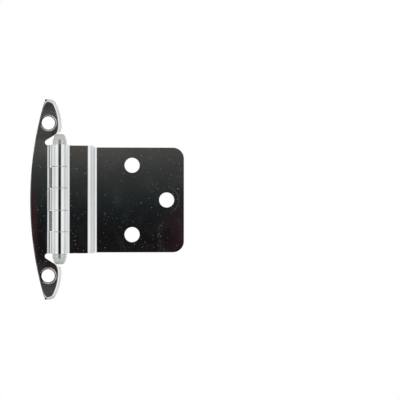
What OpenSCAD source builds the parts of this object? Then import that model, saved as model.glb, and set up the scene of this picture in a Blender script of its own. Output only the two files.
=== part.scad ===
// Offset cabinet hinge for a lipped door, drawn closed.
// The frame leaf is a domed wing screwed to the cabinet's face frame. The door leaf
// is a cranked plate that reaches round the door's edge. Both are pressed from sheet,
// and their tabs are rolled into five knuckles round one pin with two pressed-on tips.
// X points from the frame screws towards the door, Y into the cabinet, Z up the pin.
// The origin lies midway between the two frame screws, on the seat of the wing.

/* [Sheet, pin and knuckles] */
// Thickness of the sheet of both leaves
sheet = 1.0; // [0.8:0.1:1.2]
// Diameter of the hinge pin
pin_d = 3.5; // [3.2:0.1:3.8]
// Height of the pin's axis above the seat
pin_lift = 6.0; // [5.8:0.1:7]
// Distance of the pin's axis from the line of the frame screws
pin_x = 3.4; // [3.2:0.1:3.6]
// Height of the knuckled part of both leaves
leaf_h = 37.8; // [36:0.2:40]
// Length of the two frame knuckles
frame_knuckle_l = 7.3; // [6.8:0.1:7.6]
// Gap between neighbouring knuckles
knuckle_gap = 0.1; // [0.05:0.05:0.3]
// Radial clearance of the door knuckles on the pin
run_gap = 0.05; // [0.02:0.01:0.1]
// Slit that each roll leaves beside its own tab
roll_gap = 0.25; // [0.1:0.05:0.4]

/* [Pin tips] */
// Diameter of the collar of each tip
tip_d = 4.72; // [4.5:0.02:5.2]
// Height of the collar
collar_h = 1.45; // [1:0.05:1.8]
// Whole height of each tip
tip_h = 3.5; // [3.2:0.1:4.5]
// Step from the collar in to the tapered crown
collar_step = 0.14; // [0.05:0.01:0.25]
// Taper of the crown from the pin's direction in degrees
tip_taper = 14; // [8:1:18]
// Radius that rounds the end of each tip
tip_round = 1.2; // [0.9:0.1:1.3]
// Depth of the pin inside each tip
tip_socket = 2.0; // [1.4:0.1:2.2]

/* [Frame leaf] */
// Whole height of the wing
wing_h = 70; // [68:1:76]
// Reach of the wing's outer edge beyond the screw line at mid height
wing_out = 6.3; // [6:0.1:7.5]
// Radius of the bowed outer edge
bow_r = 122; // [112:1:140]
// Height of each end's widest point above mid height
tip_z = 25.5; // [25:0.5:27]
// Reach of each end past the screw line towards the door
tip_in = 4.6; // [4.4:0.1:5]
// Radius of the shoulder below the widest point
shoulder_r = 6.1; // [5.5:0.1:7]
// Height of the shoulder's lower corner above mid height
neck_z = 22.9; // [22.4:0.1:23.2]
// Height of the domed face above the seat
crown_h = 1.85; // [1.7:0.05:2]
// Radius of the dome across the wing
crown_r = 30; // [26:1:40]
// Distance of the dome's crest from the screw line towards the outer edge
crest_out = 1.2; // [0.8:0.1:1.6]
// Radius with which the dome falls away towards both ends
fall_r = 160; // [130:5:200]
// Height above mid height at which that fall starts
fall_z = 20; // [19.5:0.5:21]
// Outside radius of the rolled rim
rim_r = 2.4; // [2.3:0.1:2.8]
// Reach of the rim's outer edge beyond the rim's centre, on the seat
rim_reach = 2.3; // [2.2:0.01:2.32]
// Radius of the relief hole at each end of the knuckles
relief_r = 0.95; // [0.8:0.05:1.1]
// Distance between the two frame screws
frame_screws = 53.4; // [52:0.2:54]
// Diameter of the frame screw holes
frame_hole_d = 4.6; // [4:0.1:4.8]
// Diameter of their countersinks at the face
frame_sink_d = 6.1; // [5.6:0.1:6.6]

/* [Tabs, strip and stop lip of the frame leaf] */
// Inside radius of the bends of the tabs and of the lip
tab_bend_r = 0.3; // [0.2:0.05:0.5]
// Slope of the step from the dome down to the strip in degrees
joggle_angle = 49; // [40:1:60]
// Flat of the strip between that step and the tabs
strip_land = 0.05; // [0.02:0.01:0.2]
// Gap between the stop lip and the closed door leaf
stop_gap = 0.25; // [0.15:0.05:0.4]
// Height of the stop lip above the seat
lip_h = 2.8; // [2.4:0.1:3]

/* [Door leaf] */
// Inside radius of the bend from the tabs to the step
door_tab_bend_r = 1.2; // [0.8:0.1:1.3]
// Inside radius of the two bends of the crank
crank_bend_r = 1.5; // [1:0.1:2]
// Distance from the pin to the riser, along the step's middle line
step_l = 12.0; // [11:0.1:14]
// Turn from the step to the riser in degrees
step_turn = 84.3; // [80:0.1:90]
// Distance from the step to the plate, along the riser's middle line
riser_l = 11.95; // [9:0.05:16]
// Turn from the riser to the plate in degrees
plate_turn = 91.6; // [88:0.1:96]
// Distance from the riser to the plate's free end
plate_l = 33.2; // [30:0.1:40]
// Corner radius of the plate
plate_corner_r = 4.0; // [2:0.1:6]
// Distance between the pair of door screws
door_screws = 25.0; // [22:0.2:27]
// Distance of the pair of holes from the free end
pair_from_end = 18.7; // [16:0.1:20]
// Distance of the single hole from the free end
single_from_end = 6.24; // [5:0.02:8]
// Diameter of the door screw holes
door_hole_d = 5.4; // [4.5:0.1:6]
// Clearance between the door sheet and the frame knuckles it passes
knuckle_clear = 0.35; // [0.25:0.05:0.5]

/* [Hidden] */
$fn = 96;

chrome_colour = [0.42, 0.43, 0.44];
nickel_colour = [0.72, 0.74, 0.70];

pin_r = pin_d / 2;
frame_barrel_r = pin_r + sheet;
door_bore_r = pin_r + run_gap;
door_barrel_r = door_bore_r + sheet;
door_knuckle_l = (leaf_h - 2 * frame_knuckle_l - 4 * knuckle_gap) / 3;
frame_knuckle_z = (door_knuckle_l + frame_knuckle_l) / 2 + knuckle_gap;
door_knuckle_z = door_knuckle_l + frame_knuckle_l + 2 * knuckle_gap;
window_h = frame_knuckle_l + 2 * knuckle_gap;

// rim: a circle of rim_r whose centre lies rim_depth behind the seat
rim_depth = sqrt(rim_r * rim_r - rim_reach * rim_reach);
bow_cx = bow_r - wing_out;
bow_core = bow_r - rim_reach;
nose_z = wing_h / 2 - rim_reach;
nose_x = micron(bow_cx - sqrt(bow_core * bow_core - nose_z * nose_z));
end_dx = nose_x - (tip_in - rim_reach);
end_dz = nose_z - tip_z;
end_core = micron(-(end_dx * end_dx + end_dz * end_dz) / (2 * end_dx));
end_cx = tip_in - rim_reach - end_core;
shoulder_cx = tip_in - shoulder_r;
neck_x = micron(shoulder_cx + sqrt(shoulder_r * shoulder_r - pow(tip_z - neck_z, 2)));
frame_hole_z = frame_screws / 2;

// strip and tabs, as distances along X
tab_face_x = pin_x - frame_barrel_r;
tab_bend_x = tab_face_x - tab_bend_r;
joggle_foot_x = tab_bend_x - strip_land;
door_tab_x = pin_x + door_bore_r;
lip_x = door_tab_x - stop_gap;
lip_bend_x = lip_x - sheet - tab_bend_r;
relief_x = joggle_foot_x - (crown_h - sheet) / tan(joggle_angle) + 0.06;
relief_z = leaf_h / 2 + 0.95 * relief_r;

// flats of the door leaf between its bends
door_flat_x = door_tab_x + sheet + door_tab_bend_r;
crank_mid_r = crank_bend_r + sheet / 2;
step_flat = step_l - (door_flat_x - pin_x) - crank_mid_r * tan(step_turn / 2);
riser_flat = riser_l - crank_mid_r * (tan(step_turn / 2) + tan(plate_turn / 2));
plate_flat = plate_l - crank_mid_r * tan(plate_turn / 2);

// lengths that follow from square roots are kept to a micron
function micron(x) = round(x * 1000) / 1000;
function dome_drop(d, r) = r - sqrt(r * r - d * d);
sink_depth = (frame_sink_d - frame_hole_d) / 2;
hole_face_h = crown_h - dome_drop(crest_out, crown_r) - dome_drop(frame_hole_z - fall_z, fall_r);

// Unit steps along the sheet and towards its back, for a direction in plan
function along(a) = [cos(a), sin(a)];
function backward(a) = [-sin(a), cos(a)];
function arc(c, r, from, to) = [for (i = [0:12]) c + r * along(from + (to - from) * i / 12)];

// Part of a ring of sheet between two directions less than 120 degrees apart
module bend_band(inside_r, from, to) {
    reach = 3 * (inside_r + sheet);
    intersection() {
        difference() { circle(inside_r + sheet); circle(inside_r); }
        polygon([[0, 0], reach * [cos(from), sin(from)],
                 reach * [cos((from + to) / 2), sin((from + to) / 2)], reach * [cos(to), sin(to)]]);
    }
}
// Rolled knuckle in plan: the roll leaves its tab on the side given, at +1 or -1 times X,
// goes round the front of the pin and ends behind it, a slit short of the tab
module knuckle_plan(bore_r, side) translate([pin_x, -pin_lift]) mirror([side > 0 ? 0 : 1, 0]) difference() {
    circle(bore_r + sheet);
    circle(bore_r);
    translate([bore_r - roll_gap, 0]) square(3 * bore_r);
}

module both_ends() for (end = [0, 1]) mirror([0, 0, end]) children();

// Round piece of the wing's rim: a roll of rim_r less the inset at core_r from its middle,
// under a cone that stays clear above the dome
module rim_disc(core_r, inset, facets) {
    r = rim_r - inset;
    x = core_r + r * sin(10);
    h = r * cos(10) - rim_depth - 0.02;
    top = min(crown_h - inset + 0.05, h + 0.9 * x * tan(30));
    rotate([90, 0, 0]) rotate_extrude($fn = facets) {
        intersection() {
            translate([core_r, -rim_depth]) circle(r);
            translate([core_r, -1.6]) square(3 * rim_r);
        }
        polygon([[0, -1.6], [x, -1.6], [x, h], [x - (top - h) / tan(30), top], [0, top]]);
    }
}

module slab(z0, z1) translate([-20, -10, z0]) cube([40, 20, z1 - z0]);

// Sector past each end's outer and inner edges, in which the nose is round
module nose_sector() {
    from_bow = [nose_x - bow_cx, nose_z] / norm([nose_x - bow_cx, nose_z]);
    from_end = [nose_x - end_cx, nose_z - tip_z] / norm([nose_x - end_cx, nose_z - tip_z]);
    n = [nose_x, nose_z];
    rotate([90, 0, 0]) linear_extrude(40, center = true)
        polygon([n, n + 12 * from_bow, n + 12 * from_bow + [0, 12], n + 12 * from_end + [0, 12],
                 n + 12 * from_end]);
}

module bow_disc(inset) translate([bow_cx, 0, 0]) rim_disc(bow_core, inset, 720);

// Wing in plan with its rolled rim: free along the knuckles, then a shoulder, tip and nose
module rim_form(inset) {
    intersection() { bow_disc(inset); slab(-neck_z, neck_z); }
    both_ends() {
        intersection() {
            bow_disc(inset);
            translate([shoulder_cx, 0, tip_z]) rim_disc(shoulder_r - rim_reach, inset, 96);
            slab(neck_z, tip_z);
        }
        difference() {
            intersection() {
                bow_disc(inset);
                translate([end_cx, 0, tip_z]) rim_disc(end_core, inset, 180);
                slab(tip_z, wing_h);
            }
            nose_sector();
        }
        translate([nose_x, 0, nose_z]) rim_disc(0, inset + 0.02, 96);
    }
}

module dome(inset) {
    r = crown_r - inset;
    translate([-crest_out, crown_r - crown_h, -fall_z]) cylinder(r = r, h = 2 * fall_z, $fn = 240);
    both_ends() translate([-crest_out, fall_r - crown_h, fall_z]) rotate([90, 0, -90])
        rotate_extrude(angle = 9, $fn = 720) translate([fall_r - crown_r, 0]) circle(r, $fn = 240);
}

// Solid form of the wing; inset by the sheet it is the hollow behind the wing
module wing_form(inset, back) intersection() {
    rim_form(inset);
    dome(inset);
    translate([-20, -10, -wing_h]) cube([40, 10 + back, 2 * wing_h]);
}

// Line of the step down to the strip, at a distance off its front face
function joggle_x(y, off) = joggle_foot_x + (y + sheet) / tan(joggle_angle) - off / sin(joggle_angle);

module along_knuckles(h) linear_extrude(h, center = true) children();

module notch() both_ends() {
    translate([relief_x, 10, relief_z]) rotate([90, 0, 0]) cylinder(r = relief_r, h = 20, $fn = 48);
    rotate([90, 0, 0]) linear_extrude(20, center = true)
        polygon([[relief_x, leaf_h / 2], [relief_x, relief_z], [neck_x, neck_z + 0.1],
                 [neck_x + 8, neck_z + 2.5], [neck_x + 8, leaf_h / 2]]);
}

// Domed shell of the wing, stepped down along the knuckles and open for the tabs
module wing_shell() difference() {
    wing_form(0, 0);
    difference() {
        wing_form(sheet, 1);
        along_knuckles(leaf_h + relief_r)
            polygon([[joggle_x(2, sheet), 2], [20, 2], [20, -5], [joggle_x(-5, sheet), -5]]);
    }
    along_knuckles(leaf_h + relief_r) polygon([[joggle_x(-5, 0), -5], [joggle_foot_x, -sheet],
        [tab_bend_x, -sheet], [tab_bend_x, 5], [tab_bend_x + 20, 5], [tab_bend_x + 20, -5]]);
    notch();
}

// Sheet pressed down round each screw hole, so that the screw pulls it onto the seat
module frame_hole_pad() rotate([90, 0, 0])
    cylinder(h = crown_h - 0.95 * sheet, r = frame_hole_d / 2 + 0.45 * sheet);

// Plain hole that opens into a 90 degree countersink at the domed face
module frame_hole() rotate([90, 0, 0]) rotate_extrude()
    polygon([[0, -1], [frame_hole_d / 2, -1], [frame_hole_d / 2, hole_face_h - sink_depth],
             [frame_sink_d / 2 + 1, hole_face_h + 1], [0, hole_face_h + 1]]);

module wing() difference() {
    union() {
        wing_shell();
        both_ends() translate([0, 0, frame_hole_z]) frame_hole_pad();
    }
    both_ends() translate([0, 0, frame_hole_z]) frame_hole();
}

module strip_plan() {
    translate([tab_bend_x, -sheet]) square([lip_bend_x - tab_bend_x, sheet]);
    translate([lip_bend_x, -sheet - tab_bend_r]) bend_band(tab_bend_r, 0, 90);
    translate([lip_x - sheet, -lip_h]) square([sheet, lip_h - sheet - tab_bend_r]);
}

module frame_tab_plan() {
    translate([tab_bend_x, -sheet - tab_bend_r]) bend_band(tab_bend_r, 0, 90);
    translate([tab_face_x, -pin_lift]) square([sheet, pin_lift - sheet - tab_bend_r]);
    knuckle_plan(pin_r, -1);
}

module frame_leaf() color(chrome_colour) {
    wing();
    for (z = [-door_knuckle_z, 0, door_knuckle_z])
        translate([0, 0, z]) along_knuckles(door_knuckle_l) strip_plan();
    for (z = [-frame_knuckle_z, frame_knuckle_z])
        translate([0, 0, z]) along_knuckles(frame_knuckle_l) frame_tab_plan();
}

// Front face of the door leaf in plan, from the bend at the tabs to the plate's free end
step_start = [door_flat_x, -sheet];
tab_bend_c = step_start - door_tab_bend_r * backward(0);
step_bend_c = step_start + step_flat * along(0) + (crank_bend_r + sheet) * backward(0);
riser_start = step_bend_c - (crank_bend_r + sheet) * backward(step_turn);
plate_angle = step_turn - plate_turn;
plate_bend_c = riser_start + riser_flat * along(step_turn) - crank_bend_r * backward(step_turn);
plate_start = plate_bend_c + crank_bend_r * backward(plate_angle);
plate_end = plate_start + plate_flat * along(plate_angle);

// Both faces of the bent sheet: off is 0 on the front face and 1 on the back face
function door_face(off) = concat(
    [[door_tab_x + (1 - off) * sheet, -pin_lift]],
    arc(tab_bend_c, door_tab_bend_r + off * sheet, 180, 90),
    arc(step_bend_c, crank_bend_r + (1 - off) * sheet, -90, step_turn - 90),
    arc(plate_bend_c, crank_bend_r + off * sheet, step_turn + 90, plate_angle + 90),
    [plate_end + off * sheet * backward(plate_angle)]);
function reversed(list) = [for (i = [len(list) - 1:-1:0]) list[i]];

module door_plan() polygon(concat(door_face(0), reversed(door_face(1))));

module to_plate() translate(plate_start) rotate(plate_angle) children();

module plate_corner() both_ends()
    translate([plate_flat - plate_corner_r, 0, leaf_h / 2 - plate_corner_r]) difference() {
        translate([0, -1, 0]) cube([plate_corner_r + 1, sheet + 2, plate_corner_r + 1]);
        rotate([90, 0, 0]) cylinder(r = plate_corner_r, h = 4 * sheet + 4, center = true);
    }

module plate_hole(from_end, z) translate([plate_flat - from_end, 0, z]) rotate([90, 0, 0])
    cylinder(d = door_hole_d, h = 4 * sheet, center = true);

module door_leaf() color(chrome_colour) difference() {
    union() {
        along_knuckles(leaf_h) door_plan();
        for (z = [-door_knuckle_z, 0, door_knuckle_z])
            translate([0, 0, z]) along_knuckles(door_knuckle_l) knuckle_plan(door_bore_r, 1);
    }
    for (z = [-frame_knuckle_z, frame_knuckle_z]) translate([door_tab_x - 1, -pin_lift - 1, z - window_h / 2])
        cube([sheet + 2, frame_barrel_r + knuckle_clear + 1, window_h]);
    to_plate() {
        plate_corner();
        plate_hole(pair_from_end, door_screws / 2);
        plate_hole(pair_from_end, -door_screws / 2);
        plate_hole(single_from_end, 0);
    }
}

module hinge_pin() color(nickel_colour) translate([pin_x, -pin_lift, 0])
    cylinder(d = pin_d, h = leaf_h + 2 * knuckle_gap + 2 * tip_socket, center = true);

module tip() translate([pin_x, -pin_lift, leaf_h / 2 + knuckle_gap]) {
    crown_base_r = tip_d / 2 - collar_step;
    end_z = tip_h - tip_round;
    end_x = crown_base_r - (end_z - collar_h) * tan(tip_taper) - tip_round / cos(tip_taper);
    difference() {
        rotate_extrude() polygon(concat([[0, 0], [tip_d / 2, 0], [tip_d / 2, collar_h],
            [crown_base_r, collar_h]], arc([end_x, end_z], tip_round, tip_taper, 90), [[0, tip_h]]));
        translate([0, 0, -1]) cylinder(d = pin_d, h = tip_socket + 1);
    }
}

module upper_tip() color(nickel_colour) tip();
module lower_tip() color(nickel_colour) mirror([0, 0, 1]) tip();

frame_leaf();
door_leaf();
hinge_pin();
upper_tip();
lower_tip();
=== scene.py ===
"""Looks of a chrome offset cabinet hinge for a lipped door, set on the CAD frame.

Every piece is modelled in metres in the row frame: X from the frame screws towards the
door, Y into the cabinet, Z up the pin. The leaves and tips stand for their CAD nodes, and
the pin keeps its own.
"""
from math import cos, degrees, hypot, pi, radians, sin, sqrt, tan

import bpy
from bpy.props import FloatProperty, PointerProperty, StringProperty
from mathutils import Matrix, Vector


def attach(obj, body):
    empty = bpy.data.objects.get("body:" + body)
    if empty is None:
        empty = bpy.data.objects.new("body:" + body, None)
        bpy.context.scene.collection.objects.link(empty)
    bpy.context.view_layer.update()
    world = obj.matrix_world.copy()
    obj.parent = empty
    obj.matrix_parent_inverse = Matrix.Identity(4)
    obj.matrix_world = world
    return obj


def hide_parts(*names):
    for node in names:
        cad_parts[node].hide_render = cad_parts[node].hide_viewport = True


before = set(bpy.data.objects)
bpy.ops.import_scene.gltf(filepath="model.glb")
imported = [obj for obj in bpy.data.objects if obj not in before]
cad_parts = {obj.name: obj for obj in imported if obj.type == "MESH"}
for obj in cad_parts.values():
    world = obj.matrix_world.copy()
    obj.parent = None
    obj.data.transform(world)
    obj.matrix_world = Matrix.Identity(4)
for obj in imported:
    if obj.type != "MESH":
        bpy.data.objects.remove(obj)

bl_info = {
    "name": "Offset cabinet hinge",
    "version": (1, 0, 0),
    "blender": (4, 5, 0),
    "location": "3D View > Sidebar > Hinge",
    "description": "Builds the chrome offset hinge and its studio",
    "category": "Object",
}

MM = 0.001
# places nearer than this count as one
TOUCH = 1e-6
# sides of a full circle
ROUND = 96
# degrees by which a tab is rolled round the pin
ROLL = 304
# grid laid over the wing: rows up it, and columns across its face, its step and its inner edge
ROWS = 240
FACE_COLUMNS, STEP_COLUMNS, EDGE_COLUMNS = 60, 40, 44
# centre of the door plate's single hole
SINGLE_HOLE = (0.0433, 0.008, 0)
# disc of floor under the hinge, solid near its middle and clear at its rim
FLOOR_MIDDLE, FLOOR_R = (0.015, 0.01, -0.098), 0.11
# directions along the door plate to the right and out of its front face
PLATE_RIGHT, PLATE_FRONT = (0.9919, -0.1271, 0), (-0.1271, -0.9919, 0)
# how far to the right of the plate's front direction the dark zone has its middle, in radians;
# at this size the angle and its sine are the same
DARK_MIDDLE = 0.034


def length(name, mm, description):
    return FloatProperty(name=name, default=mm * MM, description=description,
                         unit="LENGTH", subtype="DISTANCE", precision=5)


def angle(name, turn, description):
    return FloatProperty(name=name, default=radians(turn), description=description,
                         unit="ROTATION", subtype="ANGLE")


def colour(name, code, description):
    return StringProperty(name=name, default=code, description=description)


class HingeSettings(bpy.types.PropertyGroup):
    """Sizes and colours. Most sizes are those of the part's source. The wing's face and edges, the
    step beside the knuckles, the joints and the outermost sizes differ from it a little."""
    sheet: length("Sheet", 1.0, "Thickness of both leaves")
    pin_x: length("Pin distance", 3.4, "Distance of the pin's axis from the line of the frame screws")
    pin_lift: length("Pin height", 6.0, "Height of the pin's axis above the seat")
    leaf_h: length("Leaf height", 37.8, "Height of the knuckled part of both leaves")
    frame_knuckle_l: length("Frame knuckle", 7.3, "Length of the two frame knuckles")
    knuckle_gap: length("Knuckle gap", 0.1, "Gap between neighbouring knuckles")
    frame_barrel_r: length("Frame barrel", 2.75, "Outside radius of the frame knuckles")
    door_barrel_r: length("Door barrel", 2.795, "Outside radius of the door knuckles")
    tip_r: length("Tip radius", 2.36, "Radius of the collar of each tip")
    collar_h: length("Collar height", 1.45, "Height of the collar of each tip")
    tip_h: length("Tip height", 3.5, "Whole height of each tip")
    collar_step: length("Collar step", 0.14, "Step from the collar in to the crown")
    tip_taper: angle("Tip taper", 14, "Taper of the crown")
    tip_round: length("Tip round", 1.2, "Radius that rounds the end of each tip")
    wing_h: length("Wing height", 69.95, "Whole height of the wing")
    wing_out: length("Wing reach", 6.3, "Reach of the bowed edge beyond the screw line")
    bow_r: length("Bow radius", 122, "Radius of the bowed outer edge")
    tip_z: length("Widest point", 25.5, "Height of each end's widest point")
    tip_in: length("Inner reach", 4.6, "Reach of each end towards the door")
    shoulder_r: length("Shoulder radius", 6.1, "Radius of the shoulder below the widest point")
    neck_z: length("Neck height", 22.9, "Height of the shoulder's lower corner")
    crown_h: length("Crown", 1.85, "Height of the domed face above the seat")
    crown_r: length("Crown radius", 70, "Radius of the nearly flat face across the wing")
    crest_out: length("Crest", 1.2, "Distance of the dome's crest from the screw line")
    fall_r: length("Fall radius", 160, "Radius with which the dome falls towards both ends")
    fall_z: length("Fall start", 20, "Height at which that fall starts")
    bow_roll: length("Bow edge roll", 0.1, "Width of the tight roll of the bowed edge")
    brink: length("Brink", 0.1, "Softness of the top and the foot of the step to the strip")
    fold: length("Fold", 0.8, "Width of the flattened edge above that step")
    fold_tilt: angle("Fold tilt", 12.5, "Slope of the flattened edge")
    fall: angle("Fall", 80, "Slope of that step")
    end_roll: length("End edge roll", 1.25, "Width of the broad roll of the ends' inner edges")
    rim_reach: length("Rim reach", 2.3, "Reach of the rim's edge beyond its centre")
    relief_r: length("Relief radius", 0.95, "Radius of the relief hole at each end of the knuckles")
    frame_screws: length("Frame screws", 53.4, "Distance between the two frame screws")
    frame_hole_r: length("Frame hole", 2.3, "Radius of the frame screw holes")
    frame_sink_r: length("Countersink", 3.05, "Radius of their countersinks at the face")
    tab_bend_r: length("Tab bend", 0.3, "Inside radius of the frame tabs' bends")
    joggle: angle("Joggle", 49, "Slope of the source's step, which places the relief holes")
    strip_land: length("Strip land", 0.05, "Flat between that step and the tabs")
    stop_gap: length("Stop gap", 0.25, "Gap between the stop lip and the door leaf")
    lip_h: length("Lip height", 2.8, "Height of the stop lip above the seat")
    door_tab_bend_r: length("Door tab bend", 1.2, "Inside radius of the bend to the step")
    crank_bend_r: length("Crank bend", 1.5, "Inside radius of the crank's two bends")
    step_l: length("Step", 12.0, "Distance from the pin to the riser")
    step_turn: angle("Step turn", 84.3, "Turn from the step to the riser")
    riser_l: length("Riser", 11.95, "Distance from the step to the plate")
    plate_turn: angle("Plate turn", 91.6, "Turn from the riser to the plate")
    plate_l: length("Plate", 33.2, "Distance from the riser to the free end")
    plate_corner_r: length("Plate corner", 4.0, "Corner radius of the plate")
    door_screws: length("Door screws", 25.0, "Distance between the pair of door screws")
    pair_from_end: length("Pair of holes", 18.7, "Distance of the pair from the free end")
    single_from_end: length("Single hole", 6.24, "Distance of the single hole from the free end")
    door_hole_r: length("Door hole", 2.7, "Radius of the door screw holes")
    joint: length("Joint", 0.06, "Wear that widens the joints between the knuckles, on each side")
    knuckle_clear: length("Knuckle clearance", 0.35, "Clearance round the frame knuckles")
    edge: length("Edge break", 0.05, "Width of the broken edges of the blanked sheet")
    chrome: colour("Chrome", "#ECEEEF", "Reflection of the chrome plate")
    dust: colour("Dust", "#D9D6D2", "Specks and worn scratches")
    nickel: colour("Nickel", "#D6D8D2", "Reflection of the satin nickel tips")
    steel: colour("Steel", "#C9CACA", "Reflection of the pin")
    floor: colour("Floor", "#F4F4F3", "Pale studio floor")


def linear(code):
    """sRGB hex to the linear colour that shaders take."""
    parts = [int(code[i:i + 2], 16) / 255 for i in (1, 3, 5)]
    return tuple(c / 12.92 if c <= 0.04045 else ((c + 0.055) / 1.055) ** 2.4 for c in parts) + (1.0,)


# shader nodes

def add(tree, kind, inputs=None, **settings):
    """Adds a node, sets its settings and its inputs; a socket given as input is linked."""
    made = tree.nodes.new("ShaderNode" + kind)
    for key, value in settings.items():
        setattr(made, key, value)
    for key, value in (inputs or {}).items():
        if isinstance(value, bpy.types.NodeSocket):
            tree.links.new(value, made.inputs[key])
        else:
            made.inputs[key].default_value = value
    return made


def ramp(tree, value, low, high, stops):
    """Colour by value, through (value, sRGB hex) stops of which low is the first and high the last."""
    place = add(tree, "MapRange", {"Value": value, "From Min": low, "From Max": high})
    made = add(tree, "ValToRGB", {"Fac": place.outputs["Result"]})
    points = made.color_ramp.elements
    for i, (stop, code) in enumerate([stops[0], stops[-1]] + stops[1:-1]):
        point = points[i] if i < 2 else points.new((stop - low) / (high - low))
        point.position = (stop - low) / (high - low)
        point.color = linear(code)
    return made.outputs["Color"]


def smooth(tree, value, low, high):
    """0 below low, 1 above high, smooth between."""
    return add(tree, "MapRange", {"Value": value, "From Min": low, "From Max": high},
               interpolation_type="SMOOTHSTEP").outputs["Result"]


def math(tree, operation, a, b=0.0):
    return add(tree, "Math", {0: a, 1: b}, operation=operation).outputs[0]


def product(tree, *masks):
    """Mask that is there where all the masks are."""
    whole = masks[0]
    for mask in masks[1:]:
        whole = math(tree, "MULTIPLY", whole, mask)
    return whole


def mix(tree, share, colour_a, colour_b):
    """Colour a where share is 0, colour b where it is 1."""
    return add(tree, "Mix", {"Factor": share, "A": colour_a, "B": colour_b},
               data_type="RGBA").outputs["Result"]


def measure(tree, operation, way, other):
    """A number from two vectors, such as their distance."""
    return add(tree, "VectorMath", {0: way, 1: other}, operation=operation).outputs["Value"]


def noise_mask(tree, feature, low, high, turn=(0, 0, 0), detail=2.0):
    """Mask where noise with features of those sizes, in metres, rises from low to high."""
    place = add(tree, "TexCoord").outputs["Object"]
    mapped = add(tree, "Mapping", {"Vector": place, "Rotation": turn,
                                   "Scale": tuple(1 / size for size in feature)})
    noise = add(tree, "TexNoise", {"Vector": mapped.outputs["Vector"], "Scale": 1.0, "Detail": detail})
    return smooth(tree, noise.outputs["Fac"], low, high)


def new_material(name):
    made = bpy.data.materials.get(name) or bpy.data.materials.new(name)
    made.use_nodes = True
    made.node_tree.nodes.clear()
    return made, made.node_tree


def finish_material(made, tree, shader):
    add(tree, "OutputMaterial", {"Surface": shader})
    return made


def chrome_material(s):
    # Polished chrome plate: a mirror that shows the studio, crossed by fine handling
    # scratches, with a faint haze and a few bright specks of dust.
    made, tree = new_material("Polished chrome plate")
    cloud = noise_mask(tree, (0.009, 0.009, 0.012), 0.3, 0.75)
    tint = mix(tree, cloud, linear(s.chrome), linear("#E2E4E2"))
    # real scratches are under 0.05 mm wide; these are 0.3 mm wide, so that the picture holds them
    first = noise_mask(tree, (0.0003, 0.0003, 0.0022), 0.72, 0.79, (0.35, 0.9, 0.1), 1.0)
    second = noise_mask(tree, (0.002, 0.0003, 0.0003), 0.73, 0.80, (0.2, 0.5, 0.7), 1.0)
    patch = noise_mask(tree, (0.012, 0.012, 0.012), 0.45, 0.62)
    speck = noise_mask(tree, (0.00042, 0.00042, 0.00042), 0.80, 0.83, detail=0.0)
    scratch = product(tree, math(tree, "MAXIMUM", first, second), patch)
    rough = math(tree, "ADD", product(tree, cloud, 0.02), 0.045)
    metal = add(tree, "BsdfPrincipled", {"Base Color": tint, "Metallic": 1.0, "Roughness": rough})
    dull = add(tree, "BsdfPrincipled", {"Base Color": linear(s.dust), "Metallic": 0.0, "Roughness": 0.6})
    amount = math(tree, "MAXIMUM", product(tree, scratch, 0.2), product(tree, speck, 0.4))
    haze = noise_mask(tree, (0.005, 0.005, 0.007), 0.45, 0.8, (0.4, 0.2, 0.6), 4.0)
    amount = math(tree, "ADD", amount, product(tree, haze, 0.02))
    # faint ring that a screw's head has rubbed on the outer side of the single hole
    place = add(tree, "TexCoord").outputs["Object"]
    away = measure(tree, "DISTANCE", place, SINGLE_HOLE)
    far = add(tree, "SeparateXYZ", {"Vector": place}).outputs["X"]
    outer = smooth(tree, far, SINGLE_HOLE[0], 0.0465)
    ring = product(tree, smooth(tree, away, 0.0040, 0.0044), smooth(tree, away, 0.0049, 0.0045), outer)
    amount = math(tree, "ADD", amount, product(tree, ring, 0.05))
    mixed = add(tree, "MixShader", {"Fac": amount, 1: metal.outputs[0], 2: dull.outputs[0]})
    return finish_material(made, tree, mixed.outputs[0])


def satin_material(name, code, roughness):
    # Satin metal: broad soft reflections with a faint turned grain round the axis.
    made, tree = new_material(name)
    # a lathe's grain is about 0.05 mm; it is drawn 0.25 mm high here
    grain = noise_mask(tree, (0.004, 0.004, 0.00025), 0.35, 0.65)
    tint = mix(tree, grain, linear(code), linear("#C6C9C2"))
    rough = math(tree, "ADD", product(tree, grain, 0.08), roughness)
    metal = add(tree, "BsdfPrincipled", {"Base Color": tint, "Metallic": 1.0, "Roughness": rough})
    return finish_material(made, tree, metal.outputs[0])


def floor_material(s):
    # Pale matt studio floor: keeps a soft shadow, and fades into the white round it.
    made, tree = new_material("Matt studio floor")
    cloud = noise_mask(tree, (0.05, 0.05, 0.05), 0.2, 0.8)
    tint = mix(tree, cloud, linear(s.floor), linear("#F6F6F5"))
    matt = add(tree, "BsdfPrincipled", {"Base Color": tint, "Roughness": 0.9})
    clear = add(tree, "BsdfTransparent")
    away = measure(tree, "DISTANCE", add(tree, "TexCoord").outputs["Object"], FLOOR_MIDDLE)
    fade = smooth(tree, away, 0.035, 0.108)
    mixed = add(tree, "MixShader", {"Fac": fade, 1: matt.outputs[0], 2: clear.outputs[0]})
    return finish_material(made, tree, mixed.outputs[0])


# modelling with operators

def start():
    if bpy.context.mode != "OBJECT":
        bpy.ops.object.mode_set(mode="OBJECT")
    bpy.ops.object.select_all(action="DESELECT")


def only(obj):
    start()
    obj.select_set(True)
    bpy.context.view_layer.objects.active = obj
    return obj


def named(name):
    """The active object, at the origin, unturned and unscaled, under a name."""
    obj = bpy.context.active_object
    obj.name = obj.data.name = name
    bpy.ops.object.transform_apply(location=True, rotation=True, scale=True)
    return obj


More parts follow.
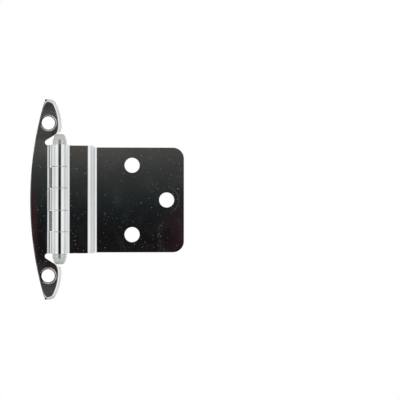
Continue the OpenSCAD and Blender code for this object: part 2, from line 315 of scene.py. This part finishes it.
def pick(obj, test):
    """Leaves obj in edit mode with just the vertices selected whose place passes the test."""
    only(obj)
    mesh = obj.data
    mesh.edges.foreach_set("select", [False] * len(mesh.edges))
    mesh.polygons.foreach_set("select", [False] * len(mesh.polygons))
    mesh.vertices.foreach_set("select", [bool(test(v.co)) for v in mesh.vertices])
    bpy.ops.object.mode_set(mode="EDIT")
    bpy.ops.mesh.select_mode(type="VERT")
    if not any(v.select for v in mesh.vertices):
        raise RuntimeError("nothing to select on " + obj.name)


def spin(turn, centre, steps):
    """Sweeps the selected edges by that many degrees about an upright axis."""
    bpy.ops.mesh.spin(steps=steps, angle=radians(-turn), center=(centre[0], centre[1], 0),
                      axis=(0, 0, 1))


def push(direction, distance):
    bpy.ops.mesh.extrude_region_move(TRANSFORM_OT_translate={
        "value": (direction[0] * distance, direction[1] * distance, 0)})


def cut_across(obj, place, normal):
    only(obj)
    bpy.ops.object.mode_set(mode="EDIT")
    bpy.ops.mesh.select_all(action="SELECT")
    bpy.ops.mesh.bisect(plane_co=place, plane_no=normal)
    bpy.ops.object.mode_set(mode="OBJECT")


def apply(obj, kind, **settings):
    only(obj)
    made = obj.modifiers.new(kind.title(), kind)
    for key, value in settings.items():
        setattr(made, key, value)
    bpy.ops.object.modifier_apply(modifier=made.name)


def take_away(obj, cutter):
    """Cuts obj with the cutter and removes the cutter."""
    apply(obj, "BOOLEAN", operation="DIFFERENCE", object=cutter, solver="EXACT")
    mesh = cutter.data
    bpy.data.objects.remove(cutter)
    bpy.data.meshes.remove(mesh)


def outward(obj):
    only(obj)
    bpy.ops.object.mode_set(mode="EDIT")
    bpy.ops.mesh.select_all(action="SELECT")
    bpy.ops.mesh.normals_make_consistent(inside=False)
    bpy.ops.object.mode_set(mode="OBJECT")


def join(parts, name):
    start()
    for part in parts:
        part.select_set(True)
    bpy.context.view_layer.objects.active = parts[0]
    bpy.ops.object.join()
    return named(name)


def upright_sheet(x, y0, y1, z0, z1, facing):
    """Flat upright sheet at x between y0 and y1, facing +X or -X."""
    start()
    bpy.ops.mesh.primitive_plane_add(size=1, rotation=(0, facing * pi / 2, 0),
                                     location=(x, (y0 + y1) / 2, (z0 + z1) / 2))
    obj = bpy.context.active_object
    obj.scale = (z1 - z0, y1 - y0, 1)
    return named("sheet")


def level_drill(place, radius, long, direction):
    """Round cutter through a sheet, along a level direction."""
    start()
    turn = Vector(direction).to_track_quat("Z", "X").to_euler()
    bpy.ops.mesh.primitive_cylinder_add(vertices=ROUND, radius=radius, depth=long, location=place,
                                        rotation=turn)
    return named("drill")


def thicken(sheet, thickness, back):
    """Gives an open sheet its thickness, on the side of its largest face where back points."""
    outward(sheet)
    largest = max(sheet.data.polygons, key=lambda face: face.area)
    if largest.normal.dot(Vector(back)) > 0:
        bpy.ops.object.mode_set(mode="EDIT")
        bpy.ops.mesh.select_all(action="SELECT")
        bpy.ops.mesh.flip_normals()
        bpy.ops.object.mode_set(mode="OBJECT")
    apply(sheet, "SOLIDIFY", thickness=thickness, offset=-1, use_even_offset=True)


def smooth_to(obj, limit):
    """Smooth shading, but for edges sharper than the limit in degrees."""
    only(obj)
    bpy.ops.object.shade_smooth_by_angle(angle=radians(limit))


def break_edges(obj, width):
    """Blanked edges catch a hairline of light where they are worn round."""
    apply(obj, "BEVEL", width=width, segments=2, limit_method="ANGLE", angle_limit=radians(40),
          harden_normals=True, use_clamp_overlap=True)


def dress(obj, material):
    obj.data.materials.clear()
    obj.data.materials.append(material)


def along(turn):
    """Direction in plan, turned from +X towards +Y."""
    return Vector((cos(turn), sin(turn), 0))


def backward(turn):
    """Direction in plan a quarter turn further, which is to the back of the sheet."""
    return Vector((-sin(turn), cos(turn), 0))


def knuckle_spans(s):
    """Heights (from, to) of the door's three knuckles and the frame's two."""
    door_l = (s.leaf_h - 2 * s.frame_knuckle_l - 4 * s.knuckle_gap) / 3
    door_z = door_l + s.frame_knuckle_l + 2 * s.knuckle_gap
    frame_z = (door_l + s.frame_knuckle_l) / 2 + s.knuckle_gap
    door_l, frame_l = door_l - 2 * s.joint, s.frame_knuckle_l - 2 * s.joint
    door = [(z - door_l / 2, z + door_l / 2) for z in (-door_z, 0, door_z)]
    return door, [(z - frame_l / 2, z + frame_l / 2) for z in (-frame_z, frame_z)]


# operators

class HINGE_OT_door_leaf(bpy.types.Operator):
    """Bends the door leaf from one sheet: plate, riser, step, tabs and three rolled knuckles"""
    bl_idname = "hinge.door_leaf"
    bl_label = "Door leaf"

    def execute(self, context):
        s = context.scene.hinge
        frame_spans = knuckle_spans(s)[1]
        gap, wear = s.knuckle_gap, 2 * s.joint
        windows = [(z0 - gap - wear, z1 + gap + wear) for z0, z1 in frame_spans]
        top, end = s.leaf_h / 2, -s.sheet - s.door_tab_bend_r
        bore_x = s.pin_x + s.door_barrel_r - s.sheet
        face_x = bore_x + s.sheet
        window_y = -s.pin_lift + s.frame_barrel_r + s.knuckle_clear
        leaf = upright_sheet(face_x, -s.pin_lift, end, -top, top, 1)
        for window in windows:
            for z in window:
                cut_across(leaf, (0, 0, z), (0, 0, 1))
        cut_across(leaf, (0, window_y, 0), (0, 1, 0))

        # away from the tabs, along the front face
        flat_x = bore_x + s.sheet + s.door_tab_bend_r
        mid_r = s.crank_bend_r + s.sheet / 2
        step = s.step_l - (flat_x - s.pin_x) - mid_r * tan(s.step_turn / 2)
        riser = s.riser_l - mid_r * (tan(s.step_turn / 2) + tan(s.plate_turn / 2))
        plate = s.plate_l - mid_r * tan(s.plate_turn / 2)
        turned = s.step_turn - s.plate_turn
        step_start = Vector((flat_x, -s.sheet, 0))
        step_c = step_start + step * along(0) + (s.crank_bend_r + s.sheet) * backward(0)
        riser_start = step_c - (s.crank_bend_r + s.sheet) * backward(s.step_turn)
        plate_c = riser_start + riser * along(s.step_turn) - s.crank_bend_r * backward(s.step_turn)
        plate_start = plate_c + s.crank_bend_r * backward(turned)
        plate_end = plate_start + plate * along(turned)
        pick(leaf, lambda p: abs(p.y - end) < TOUCH)
        spin(-90, step_start - s.door_tab_bend_r * backward(0), 28)
        push(along(0), step)
        spin(degrees(s.step_turn), step_c, 32)
        push(along(s.step_turn), riser)
        spin(-degrees(s.plate_turn), plate_c, 32)
        push(along(turned), plate)
        bpy.ops.object.mode_set(mode="OBJECT")

        # windows for the frame knuckles, then the rolls round the front of the pin
        pick(leaf, lambda p: p.y < window_y + TOUCH and p.x < face_x + TOUCH)
        bpy.ops.mesh.select_mode(type="FACE")
        bpy.ops.object.mode_set(mode="OBJECT")
        for face in leaf.data.polygons:
            face.select = face.select and any(z0 < face.center.z < z1 for z0, z1 in windows)
        bpy.ops.object.mode_set(mode="EDIT")
        bpy.ops.mesh.delete(type="FACE")
        bpy.ops.object.mode_set(mode="OBJECT")
        pick(leaf, lambda p: abs(p.y + s.pin_lift) < TOUCH)
        spin(-ROLL, (s.pin_x, -s.pin_lift), ROUND)
        bpy.ops.object.mode_set(mode="OBJECT")

        # round the plate's corners and give the sheet its thickness towards the back
        pick(leaf, lambda p: (p - plate_end).to_2d().length < TOUCH and abs(abs(p.z) - top) < TOUCH)
        bpy.ops.mesh.bevel(offset=s.plate_corner_r, segments=24, affect="VERTICES")
        thicken(leaf, s.sheet, (0, 1, 0))
        for from_end, z in ((s.pair_from_end, s.door_screws / 2),
                            (s.pair_from_end, -s.door_screws / 2),
                            (s.single_from_end, 0)):
            spot = plate_end - from_end * along(turned)
            take_away(leaf, level_drill((spot.x, spot.y, z), s.door_hole_r, 4 * s.sheet,
                                        backward(turned)))
        smooth_to(leaf, 35)
        break_edges(leaf, s.edge)
        leaf.name = leaf.data.name = "Door_leaf"
        dress(leaf, chrome_material(s))
        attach(leaf, "door")
        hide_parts("door_leaf")
        return {"FINISHED"}


def wing_outline(s):
    """Circles of the wing's edge: (centre x, centre z, radius) of bow, nose, end and shoulder."""
    bow = (s.bow_r - s.wing_out, 0.0, s.bow_r)
    nose_z = s.wing_h / 2 - s.rim_reach
    core = s.bow_r - s.rim_reach
    nose = (bow[0] - sqrt(core ** 2 - nose_z ** 2), nose_z, s.rim_reach)
    dx, dz = nose[0] - (s.tip_in - s.rim_reach), nose_z - s.tip_z
    end_core = -(dx * dx + dz * dz) / (2 * dx)
    end = (s.tip_in - s.rim_reach - end_core, s.tip_z, end_core + s.rim_reach)
    shoulder = (s.tip_in - s.shoulder_r, s.tip_z, s.shoulder_r)
    return bow, nose, end, shoulder


class HINGE_OT_frame_leaf(bpy.types.Operator):
    """Presses the domed wing and rolls the two frame knuckles, with the stop lips between them"""
    bl_idname = "hinge.frame_leaf"
    bl_label = "Frame leaf"

    def execute(self, context):
        s = context.scene.hinge
        bow, nose, end, shoulder = wing_outline(s)
        neck_x = shoulder[0] + sqrt(s.shoulder_r ** 2 - (s.tip_z - s.neck_z) ** 2)
        tab_face = s.pin_x - s.frame_barrel_r
        tab_bend = tab_face - s.tab_bend_r
        foot = tab_bend - s.strip_land
        relief_x = foot - (s.crown_h - s.sheet) / tan(s.joggle) + 0.06 * MM
        relief_z = s.leaf_h / 2 + 0.95 * s.relief_r
        top = s.leaf_h / 2

        def nose_meets(circle):
            """Height at which the nose joins that circle of the edge."""
            dx, dz = nose[0] - circle[0], nose[1] - circle[1]
            return nose[1] + s.rim_reach * dz / hypot(dx, dz)

        bow_meet, end_meet = nose_meets(bow), nose_meets(end)

        def left(z):
            c = nose if z > bow_meet else bow
            return c[0] - sqrt(max(c[2] ** 2 - (z - c[1]) ** 2, 0))

        def right(z):
            if z < s.neck_z:
                return neck_x
            c = nose if z > end_meet else end if z > s.tip_z else shoulder
            return c[0] + sqrt(max(c[2] ** 2 - (z - c[1]) ** 2, 0))

        def inside(x, z):
            """Distance in from the wing's rolled edge."""
            d = bow[2] - hypot(x - bow[0], z)
            if z > s.tip_z:
                to_bow = (nose[0] - bow[0], nose[1])
                to_end = (nose[0] - end[0], nose[1] - end[1])
                v = (x - nose[0], z - nose[1])
                past_bow = to_bow[0] * v[1] - to_bow[1] * v[0] < 0
                past_end = to_end[0] * v[1] - to_end[1] * v[0] > 0
                if past_bow and past_end and v[1] > 0:
                    return s.rim_reach - hypot(*v)
                return min(d, end[2] - hypot(x - end[0], z - end[1]))
            if z > s.neck_z:
                return min(d, shoulder[2] - hypot(x - shoulder[0], z - shoulder[1]))
            return d

        def roll(d, x, z):
            """Share of the face's height that is left at a distance d in from the edge."""
            # tight along the bow, broad along the ends' inner edges, in between at the noses
            inner = min(max((x + 1.4 * MM) / (2.6 * MM), 0), 1)
            at_nose = min(max((z - nose[1] + 0.6 * MM) / (1.8 * MM), 0), 1)
            broad = max(inner * inner * (3 - 2 * inner), 0.3 * at_nose)
            width = s.bow_roll + (s.end_roll - s.bow_roll) * broad
            return sqrt(1 - (1 - min(max(d / width, 0), 1)) ** 2)

        def dome(x, z, inset):
            """Height of the domed face, or of its back where inset is the sheet's thickness."""
            r = s.crown_r - inset
            over = sqrt(r * r - (x + s.crest_out) ** 2)
            if z <= s.fall_z:
                return over - (s.crown_r - s.crown_h)
            around = s.fall_r - s.crown_r + over
            return sqrt(around ** 2 - (z - s.fall_z) ** 2) - (s.fall_r - s.crown_h)

        def eased(gap):
            """How far a brink is rounded where the two surfaces that meet there are a gap apart."""
            return max(s.brink - abs(gap), 0) ** 2 / (4 * s.brink)

        def level(x, z, inset):
            """Height of the face or the back: the dome, its rolled edge, the step and the strip."""
            z = abs(z)
            h = dome(x, z, inset) * roll(inside(x, z) - inset, x, z)
            if z < top + s.relief_r / 2:
                fold_x = foot - s.fold
                if x > fold_x:
                    h = min(h, dome(fold_x, z, inset) - (x - fold_x) * tan(s.fold_tilt))
                slope = s.sheet + (foot - x) * tan(s.fall) - inset / cos(s.fall)
                h = min(h, slope) - eased(h - slope)
            if inset:
                near = hypot(x, z - s.frame_screws / 2)
                return 0 if near < s.frame_hole_r + 0.45 * s.sheet else max(h, 0)
            if x > foot - MM and z < s.neck_z:
                return max(h, s.sheet) + eased(h - s.sheet) * (x < foot)
            return max(h, 0)

        def across(i, z):
            """Place across the wing of column i: over the face, over the step, to the inner edge."""
            z = abs(z)
            x0, x3 = left(z), right(z)
            # the columns of the step start a little before it
            brink = foot - (dome(foot, 0, 0) - s.sheet) / tan(s.joggle) - 0.75 * MM
            x1 = min(brink, x0 + 0.5 * (x3 - x0))
            x2 = min(foot, x1 + (foot - brink) * (x3 - x0) / (7 * MM))
            if z < s.neck_z:
                x2 = foot
            past_face = i - FACE_COLUMNS
            if past_face <= 0:
                # columns stand closer near both ends of the face
                t = i / FACE_COLUMNS
                return x0 + (x1 - x0) * (0.65 * (0.5 - 0.5 * cos(pi * t)) + 0.35 * t)
            if past_face <= STEP_COLUMNS:
                return x1 + (x2 - x1) * past_face / STEP_COLUMNS
            t = (past_face - STEP_COLUMNS) / EDGE_COLUMNS
            if z >= s.neck_z:
                # columns stand closer towards a rolled inner edge
                t = sin(pi / 2 * t) * 0.7 + 0.3 * t
            return x2 + (x3 - x2) * t

        # the pressed form: its rolled edge dies into a dome that falls towards both ends,
        # which inset and bevel can't follow, so a grid is laid over the form point by point
        columns = FACE_COLUMNS + STEP_COLUMNS + EDGE_COLUMNS
        start()
        bpy.ops.mesh.primitive_grid_add(x_subdivisions=columns, y_subdivisions=ROWS, size=1,
                                        location=(0, 0, 0))
        wing = named("wing")
        for v in wing.data.vertices:
            t, i = v.co.y + 0.5, round((v.co.x + 0.5) * columns)
            z = -s.wing_h / 2 * (0.55 * cos(pi * t) + 0.45 * (1 - 2 * t))
            z = max(min(z, s.wing_h / 2 - TOUCH), -s.wing_h / 2 + TOUCH)
            x = across(i, z)
            v.co = (x, -level(x, z, 0), z)
        bpy.ops.object.duplicate()
        back = bpy.context.active_object
        for v in back.data.vertices:
            v.co.y = -level(v.co.x, v.co.z, s.sheet)
        start()
        wing.select_set(True)
        back.select_set(True)
        bpy.context.view_layer.objects.active = wing
        bpy.ops.object.join()
        bpy.ops.object.mode_set(mode="EDIT")
        bpy.ops.mesh.select_mode(type="EDGE")
        bpy.ops.mesh.select_all(action="DESELECT")
        bpy.ops.mesh.select_non_manifold(extend=False)
        bpy.ops.mesh.bridge_edge_loops()
        bpy.ops.mesh.select_all(action="SELECT")
        bpy.ops.mesh.remove_doubles(threshold=1e-7)
        bpy.ops.mesh.normals_make_consistent(inside=False)
        bpy.ops.object.mode_set(mode="OBJECT")

        # cut free along the knuckles, up to the shoulder, with a round relief at each end
        blades = [[(tab_bend, -top), (neck_x + 6 * MM, -top), (neck_x + 6 * MM, top), (tab_bend, top)]]
        under = Vector((neck_x - relief_x, s.neck_z + 0.1 * MM - relief_z, 0)).normalized()
        lift = s.relief_r * Vector((-under.y, under.x, 0))
        for side in (-1, 1):
            blades.append([(relief_x, side * top), (relief_x + lift.x, side * (relief_z + lift.y)),
                           (neck_x + 0.6 * lift.x, side * (s.neck_z + 0.1 * MM + 0.6 * lift.y)),
                           (neck_x + 6 * MM, side * (s.neck_z + 2.4 * MM)),
                           (neck_x + 6 * MM, side * (top - MM)), (tab_bend + MM, side * (top - MM)),
                           (tab_bend + MM, side * top)])
            take_away(wing, level_drill((relief_x, 0, side * relief_z), s.relief_r, 20 * MM, (0, 1, 0)))
        for places in blades:
            start()
            bpy.ops.mesh.primitive_circle_add(vertices=len(places), radius=1, fill_type="NGON")
            blade = named("blade")
            for v, (x, z) in zip(blade.data.vertices, places):
                v.co = (x, 10 * MM, z)
            bpy.ops.object.mode_set(mode="EDIT")
            bpy.ops.mesh.select_all(action="SELECT")
            bpy.ops.mesh.extrude_region_move(TRANSFORM_OT_translate={"value": (0, -20 * MM, 0)})
            outward(blade)
            take_away(wing, blade)

        # screw holes that open into countersinks at the face
        sink = 0.55 * (s.frame_sink_r - s.frame_hole_r)
        face_y = -level(0, s.frame_screws / 2, 0)
        for side in (-1, 1):
            z = side * s.frame_screws / 2
            drill = level_drill((0, (5 * MM + face_y + sink) / 2, z), s.frame_hole_r,
                                5 * MM - face_y - sink, (0, 1, 0))
            pick(drill, lambda p: p.y < face_y + sink + TOUCH)
            bpy.ops.mesh.extrude_region_move(TRANSFORM_OT_translate={"value": (0, -sink - MM, 0)})
            grow = 1 + (s.frame_sink_r / s.frame_hole_r - 1) * (sink + MM) / sink
            bpy.ops.transform.resize(value=(grow, 1, grow), center_override=(0, face_y - MM, z))
            outward(drill)
            take_away(wing, drill)
        smooth_to(wing, 28)

        # strips with their stop lips, and tabs with their knuckles
        door_spans, frame_spans = knuckle_spans(s)
        lip_x = s.pin_x + s.door_barrel_r - s.sheet - s.stop_gap
        lip_bend = lip_x - s.sheet - s.tab_bend_r
        bend_y = -s.sheet - s.tab_bend_r
        parts = [wing]
        for z0, z1 in door_spans:
            lip = upright_sheet(lip_x - s.sheet, -s.lip_h, bend_y, z0, z1, -1)
            pick(lip, lambda p: abs(p.y - bend_y) < TOUCH)
            spin(90, (lip_bend, bend_y), 12)
            push((-1, 0), lip_bend - tab_bend)
            parts.append(lip)
        for z0, z1 in frame_spans:
            tab = upright_sheet(tab_face, -s.pin_lift, bend_y, z0, z1, -1)
            pick(tab, lambda p: abs(p.y - bend_y) < TOUCH)
            spin(90, (tab_bend, bend_y), 12)
            bpy.ops.object.mode_set(mode="OBJECT")
            pick(tab, lambda p: abs(p.y + s.pin_lift) < TOUCH)
            spin(ROLL, (s.pin_x, -s.pin_lift), ROUND)
            parts.append(tab)
        for part in parts[1:]:
            thicken(part, s.sheet, (1, 0, 0))
            smooth_to(part, 35)
            break_edges(part, 0.5 * s.edge)
        leaf = join(parts, "Frame_leaf")
        dress(leaf, chrome_material(s))
        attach(leaf, "frame")
        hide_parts("frame_leaf")
        return {"FINISHED"}


class HINGE_OT_pin_and_tips(bpy.types.Operator):
    """Turns the two button tips and gives the pin between them its steel"""
    bl_idname = "hinge.pin_and_tips"
    bl_label = "Pin and tips"

    def execute(self, context):
        s = context.scene.hinge
        nickel = satin_material("Satin nickel plate", s.nickel, 0.28)
        steel = satin_material("Drawn steel", s.steel, 0.2)
        foot = s.leaf_h / 2 + s.knuckle_gap
        base_r = s.tip_r - s.collar_step
        crown_l = s.tip_h - s.collar_h
        for side, name, body in ((1, "Upper_tip", "upper_tip"), (-1, "Lower_tip", "lower_tip")):
            start()
            bpy.ops.mesh.primitive_cylinder_add(vertices=ROUND, radius=s.tip_r, depth=s.collar_h,
                                                location=(s.pin_x, -s.pin_lift, foot + s.collar_h / 2))
            tip = named(name)
            top = foot + s.collar_h
            pick(tip, lambda p: p.z > top - TOUCH)
            bpy.ops.mesh.inset(thickness=s.collar_step)
            bpy.ops.mesh.extrude_region_move(TRANSFORM_OT_translate={"value": (0, 0, crown_l)})
            end_r = base_r - crown_l * tan(s.tip_taper)
            bpy.ops.transform.resize(value=(end_r / base_r, end_r / base_r, 1),
                                     center_override=(s.pin_x, -s.pin_lift, top))
            round_off = s.tip_round * tan((pi / 2 - s.tip_taper) / 2)
            bpy.ops.mesh.bevel(offset=round_off, segments=12, affect="EDGES")
            bpy.ops.object.mode_set(mode="OBJECT")
            if side < 0:
                bpy.ops.object.mode_set(mode="EDIT")
                bpy.ops.mesh.select_all(action="SELECT")
                bpy.ops.transform.resize(value=(1, 1, -1), center_override=(0, 0, 0))
                bpy.ops.object.mode_set(mode="OBJECT")
            outward(tip)
            smooth_to(tip, 30)
            break_edges(tip, 0.6 * s.edge)
            dress(tip, nickel)
            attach(tip, "frame")
            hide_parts(body)
        dress(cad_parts["hinge_pin"], steel)
        return {"FINISHED"}


class HINGE_OT_studio(bpy.types.Operator):
    """Sets the floor, the white studio with its dark camera side, and the camera"""
    bl_idname = "hinge.studio"
    bl_label = "Studio"

    def execute(self, context):
        s = context.scene.hinge
        start()
        bpy.ops.mesh.primitive_circle_add(vertices=ROUND, radius=FLOOR_R, fill_type="NGON",
                                          location=FLOOR_MIDDLE)
        floor = named("Studio_floor")
        dress(floor, floor_material(s))

        eye = Vector((-0.04165, -0.4857, -0.0065))
        look = Vector((0.19372, 0.98334, 0.01298))
        start()
        bpy.ops.object.camera_add(location=eye, rotation=look.to_track_quat("-Z", "Y").to_euler())
        camera = context.active_object
        focal_px, picture_px, sensor_mm = 1387, 400, 36
        camera.data.sensor_width = sensor_mm
        camera.data.lens = focal_px / picture_px * sensor_mm
        camera.data.clip_start = 0.01
        context.scene.camera = camera

        # the studio that the chrome mirrors: soft boxes all round, and a dark zone on the camera's side
        world = bpy.data.worlds.get("Studio") or bpy.data.worlds.new("Studio")
        context.scene.world = world
        world.use_nodes = True
        tree = world.node_tree
        tree.nodes.clear()
        way = add(tree, "TexCoord").outputs["Generated"]
        up = add(tree, "SeparateXYZ", {"Vector": way}).outputs["Z"]
        right = measure(tree, "DOT_PRODUCT", way, PLATE_RIGHT)
        front = measure(tree, "DOT_PRODUCT", way, PLATE_FRONT)
        level = math(tree, "ABSOLUTE", up)
        down = math(tree, "MULTIPLY", up, -1.0)
        bearing = math(tree, "SUBTRACT", math(tree, "ARCTAN2", right, front), DARK_MIDDLE)
        bearing = math(tree, "MULTIPLY", bearing, 180 / pi)
        # soft boxes by their bearing from the dark zone's middle in degrees, to the right positive
        boxes = [(-180, "#2E2E2E"), (-150, "#3C3C3C"), (-126, "#C8C8C8"), (-108, "#F4F4F4"),
                 (-90, "#E6E6E6"), (-75, "#CCCCCC"), (-60, "#F0F0F0"), (-45, "#FFFFFF"),
                 (-28, "#F2F2F2"), (28, "#F2F2F2"), (45, "#FFFFFF"), (60, "#F4F4F4"), (76, "#D0D0D0"),
                 (93, "#D2D2D2"), (112, "#FAFAFA"), (140, "#E6E6E6"), (165, "#8A8A8A"), (180, "#2E2E2E")]
        room = ramp(tree, bearing, -180, 180, boxes)
        room = mix(tree, smooth(tree, up, 0.3, 0.7), room, linear("#DCDCDC"))
        room = mix(tree, smooth(tree, down, 0.35, 0.85), room, linear("#AEAEAE"))

        # the dark zone by height: warm greys above, teal black at the camera's height, maroon below
        stands = [(-0.3, "#4A4A4A"), (-0.2, "#4A4446"), (-0.12, "#3A2E30"), (-0.05, "#1E1A1B"),
                  (-0.015, "#151314"), (0.005, "#161D1E"), (0.035, "#363938"), (0.055, "#57534F"),
                  (0.075, "#454340"), (0.12, "#484744"), (0.2, "#504F4C"), (0.245, "#343433"),
                  (0.3, "#9A9A98")]
        shade = ramp(tree, up, -0.3, 0.3, stands)
        # maroon patches that the plate's outer part and the wing's shoulders mirror
        low = product(tree, smooth(tree, right, 0.042, 0.062), smooth(tree, right, 0.15, 0.1),
                      smooth(tree, down, -0.035, 0.005))
        beside = product(tree, smooth(tree, right, 0.262, 0.285), smooth(tree, level, 0.035, 0.055),
                         smooth(tree, level, 0.13, 0.1))
        maroon = math(tree, "MAXIMUM", low, beside)
        shade = mix(tree, product(tree, maroon, 0.8), shade, linear("#3A2224"))
        off = math(tree, "ABSOLUTE", math(tree, "SUBTRACT", right, DARK_MIDDLE))
        dark = product(tree, smooth(tree, front, 0.0, 0.1), smooth(tree, off, 0.37, 0.29),
                       smooth(tree, level, 0.4, 0.27))
        seen = mix(tree, dark, room, shade)
        light = add(tree, "Background", {"Color": seen, "Strength": 1.05})
        white = add(tree, "Background", {"Color": (1, 1, 1, 1), "Strength": 1.0})
        ray = add(tree, "LightPath").outputs["Is Camera Ray"]
        mixed = add(tree, "MixShader", {"Fac": ray, 1: light.outputs[0], 2: white.outputs[0]})
        add(tree, "OutputWorld", {"Surface": mixed.outputs[0]})
        context.scene.view_settings.view_transform = "Standard"
        return {"FINISHED"}


class HINGE_PT_panel(bpy.types.Panel):
    """Sizes of the hinge and the steps that build it"""
    bl_label = "Offset cabinet hinge"
    bl_idname = "HINGE_PT_panel"
    bl_space_type = "VIEW_3D"
    bl_region_type = "UI"
    bl_category = "Hinge"

    def draw(self, context):
        for step in STEPS:
            self.layout.operator(step.bl_idname)
        for key in HingeSettings.__annotations__:
            self.layout.prop(context.scene.hinge, key)


STEPS = (HINGE_OT_door_leaf, HINGE_OT_frame_leaf, HINGE_OT_pin_and_tips, HINGE_OT_studio)
CLASSES = (HingeSettings,) + STEPS + (HINGE_PT_panel,)


def register():
    for each in CLASSES:
        bpy.utils.register_class(each)
    bpy.types.Scene.hinge = PointerProperty(type=HingeSettings)


def unregister():
    del bpy.types.Scene.hinge
    for each in reversed(CLASSES):
        bpy.utils.unregister_class(each)


def main():
    register()
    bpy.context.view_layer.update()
    bpy.ops.hinge.door_leaf()
    bpy.ops.hinge.frame_leaf()
    bpy.ops.hinge.pin_and_tips()
    bpy.ops.hinge.studio()
    start()


if __name__ == "__main__":
    main()
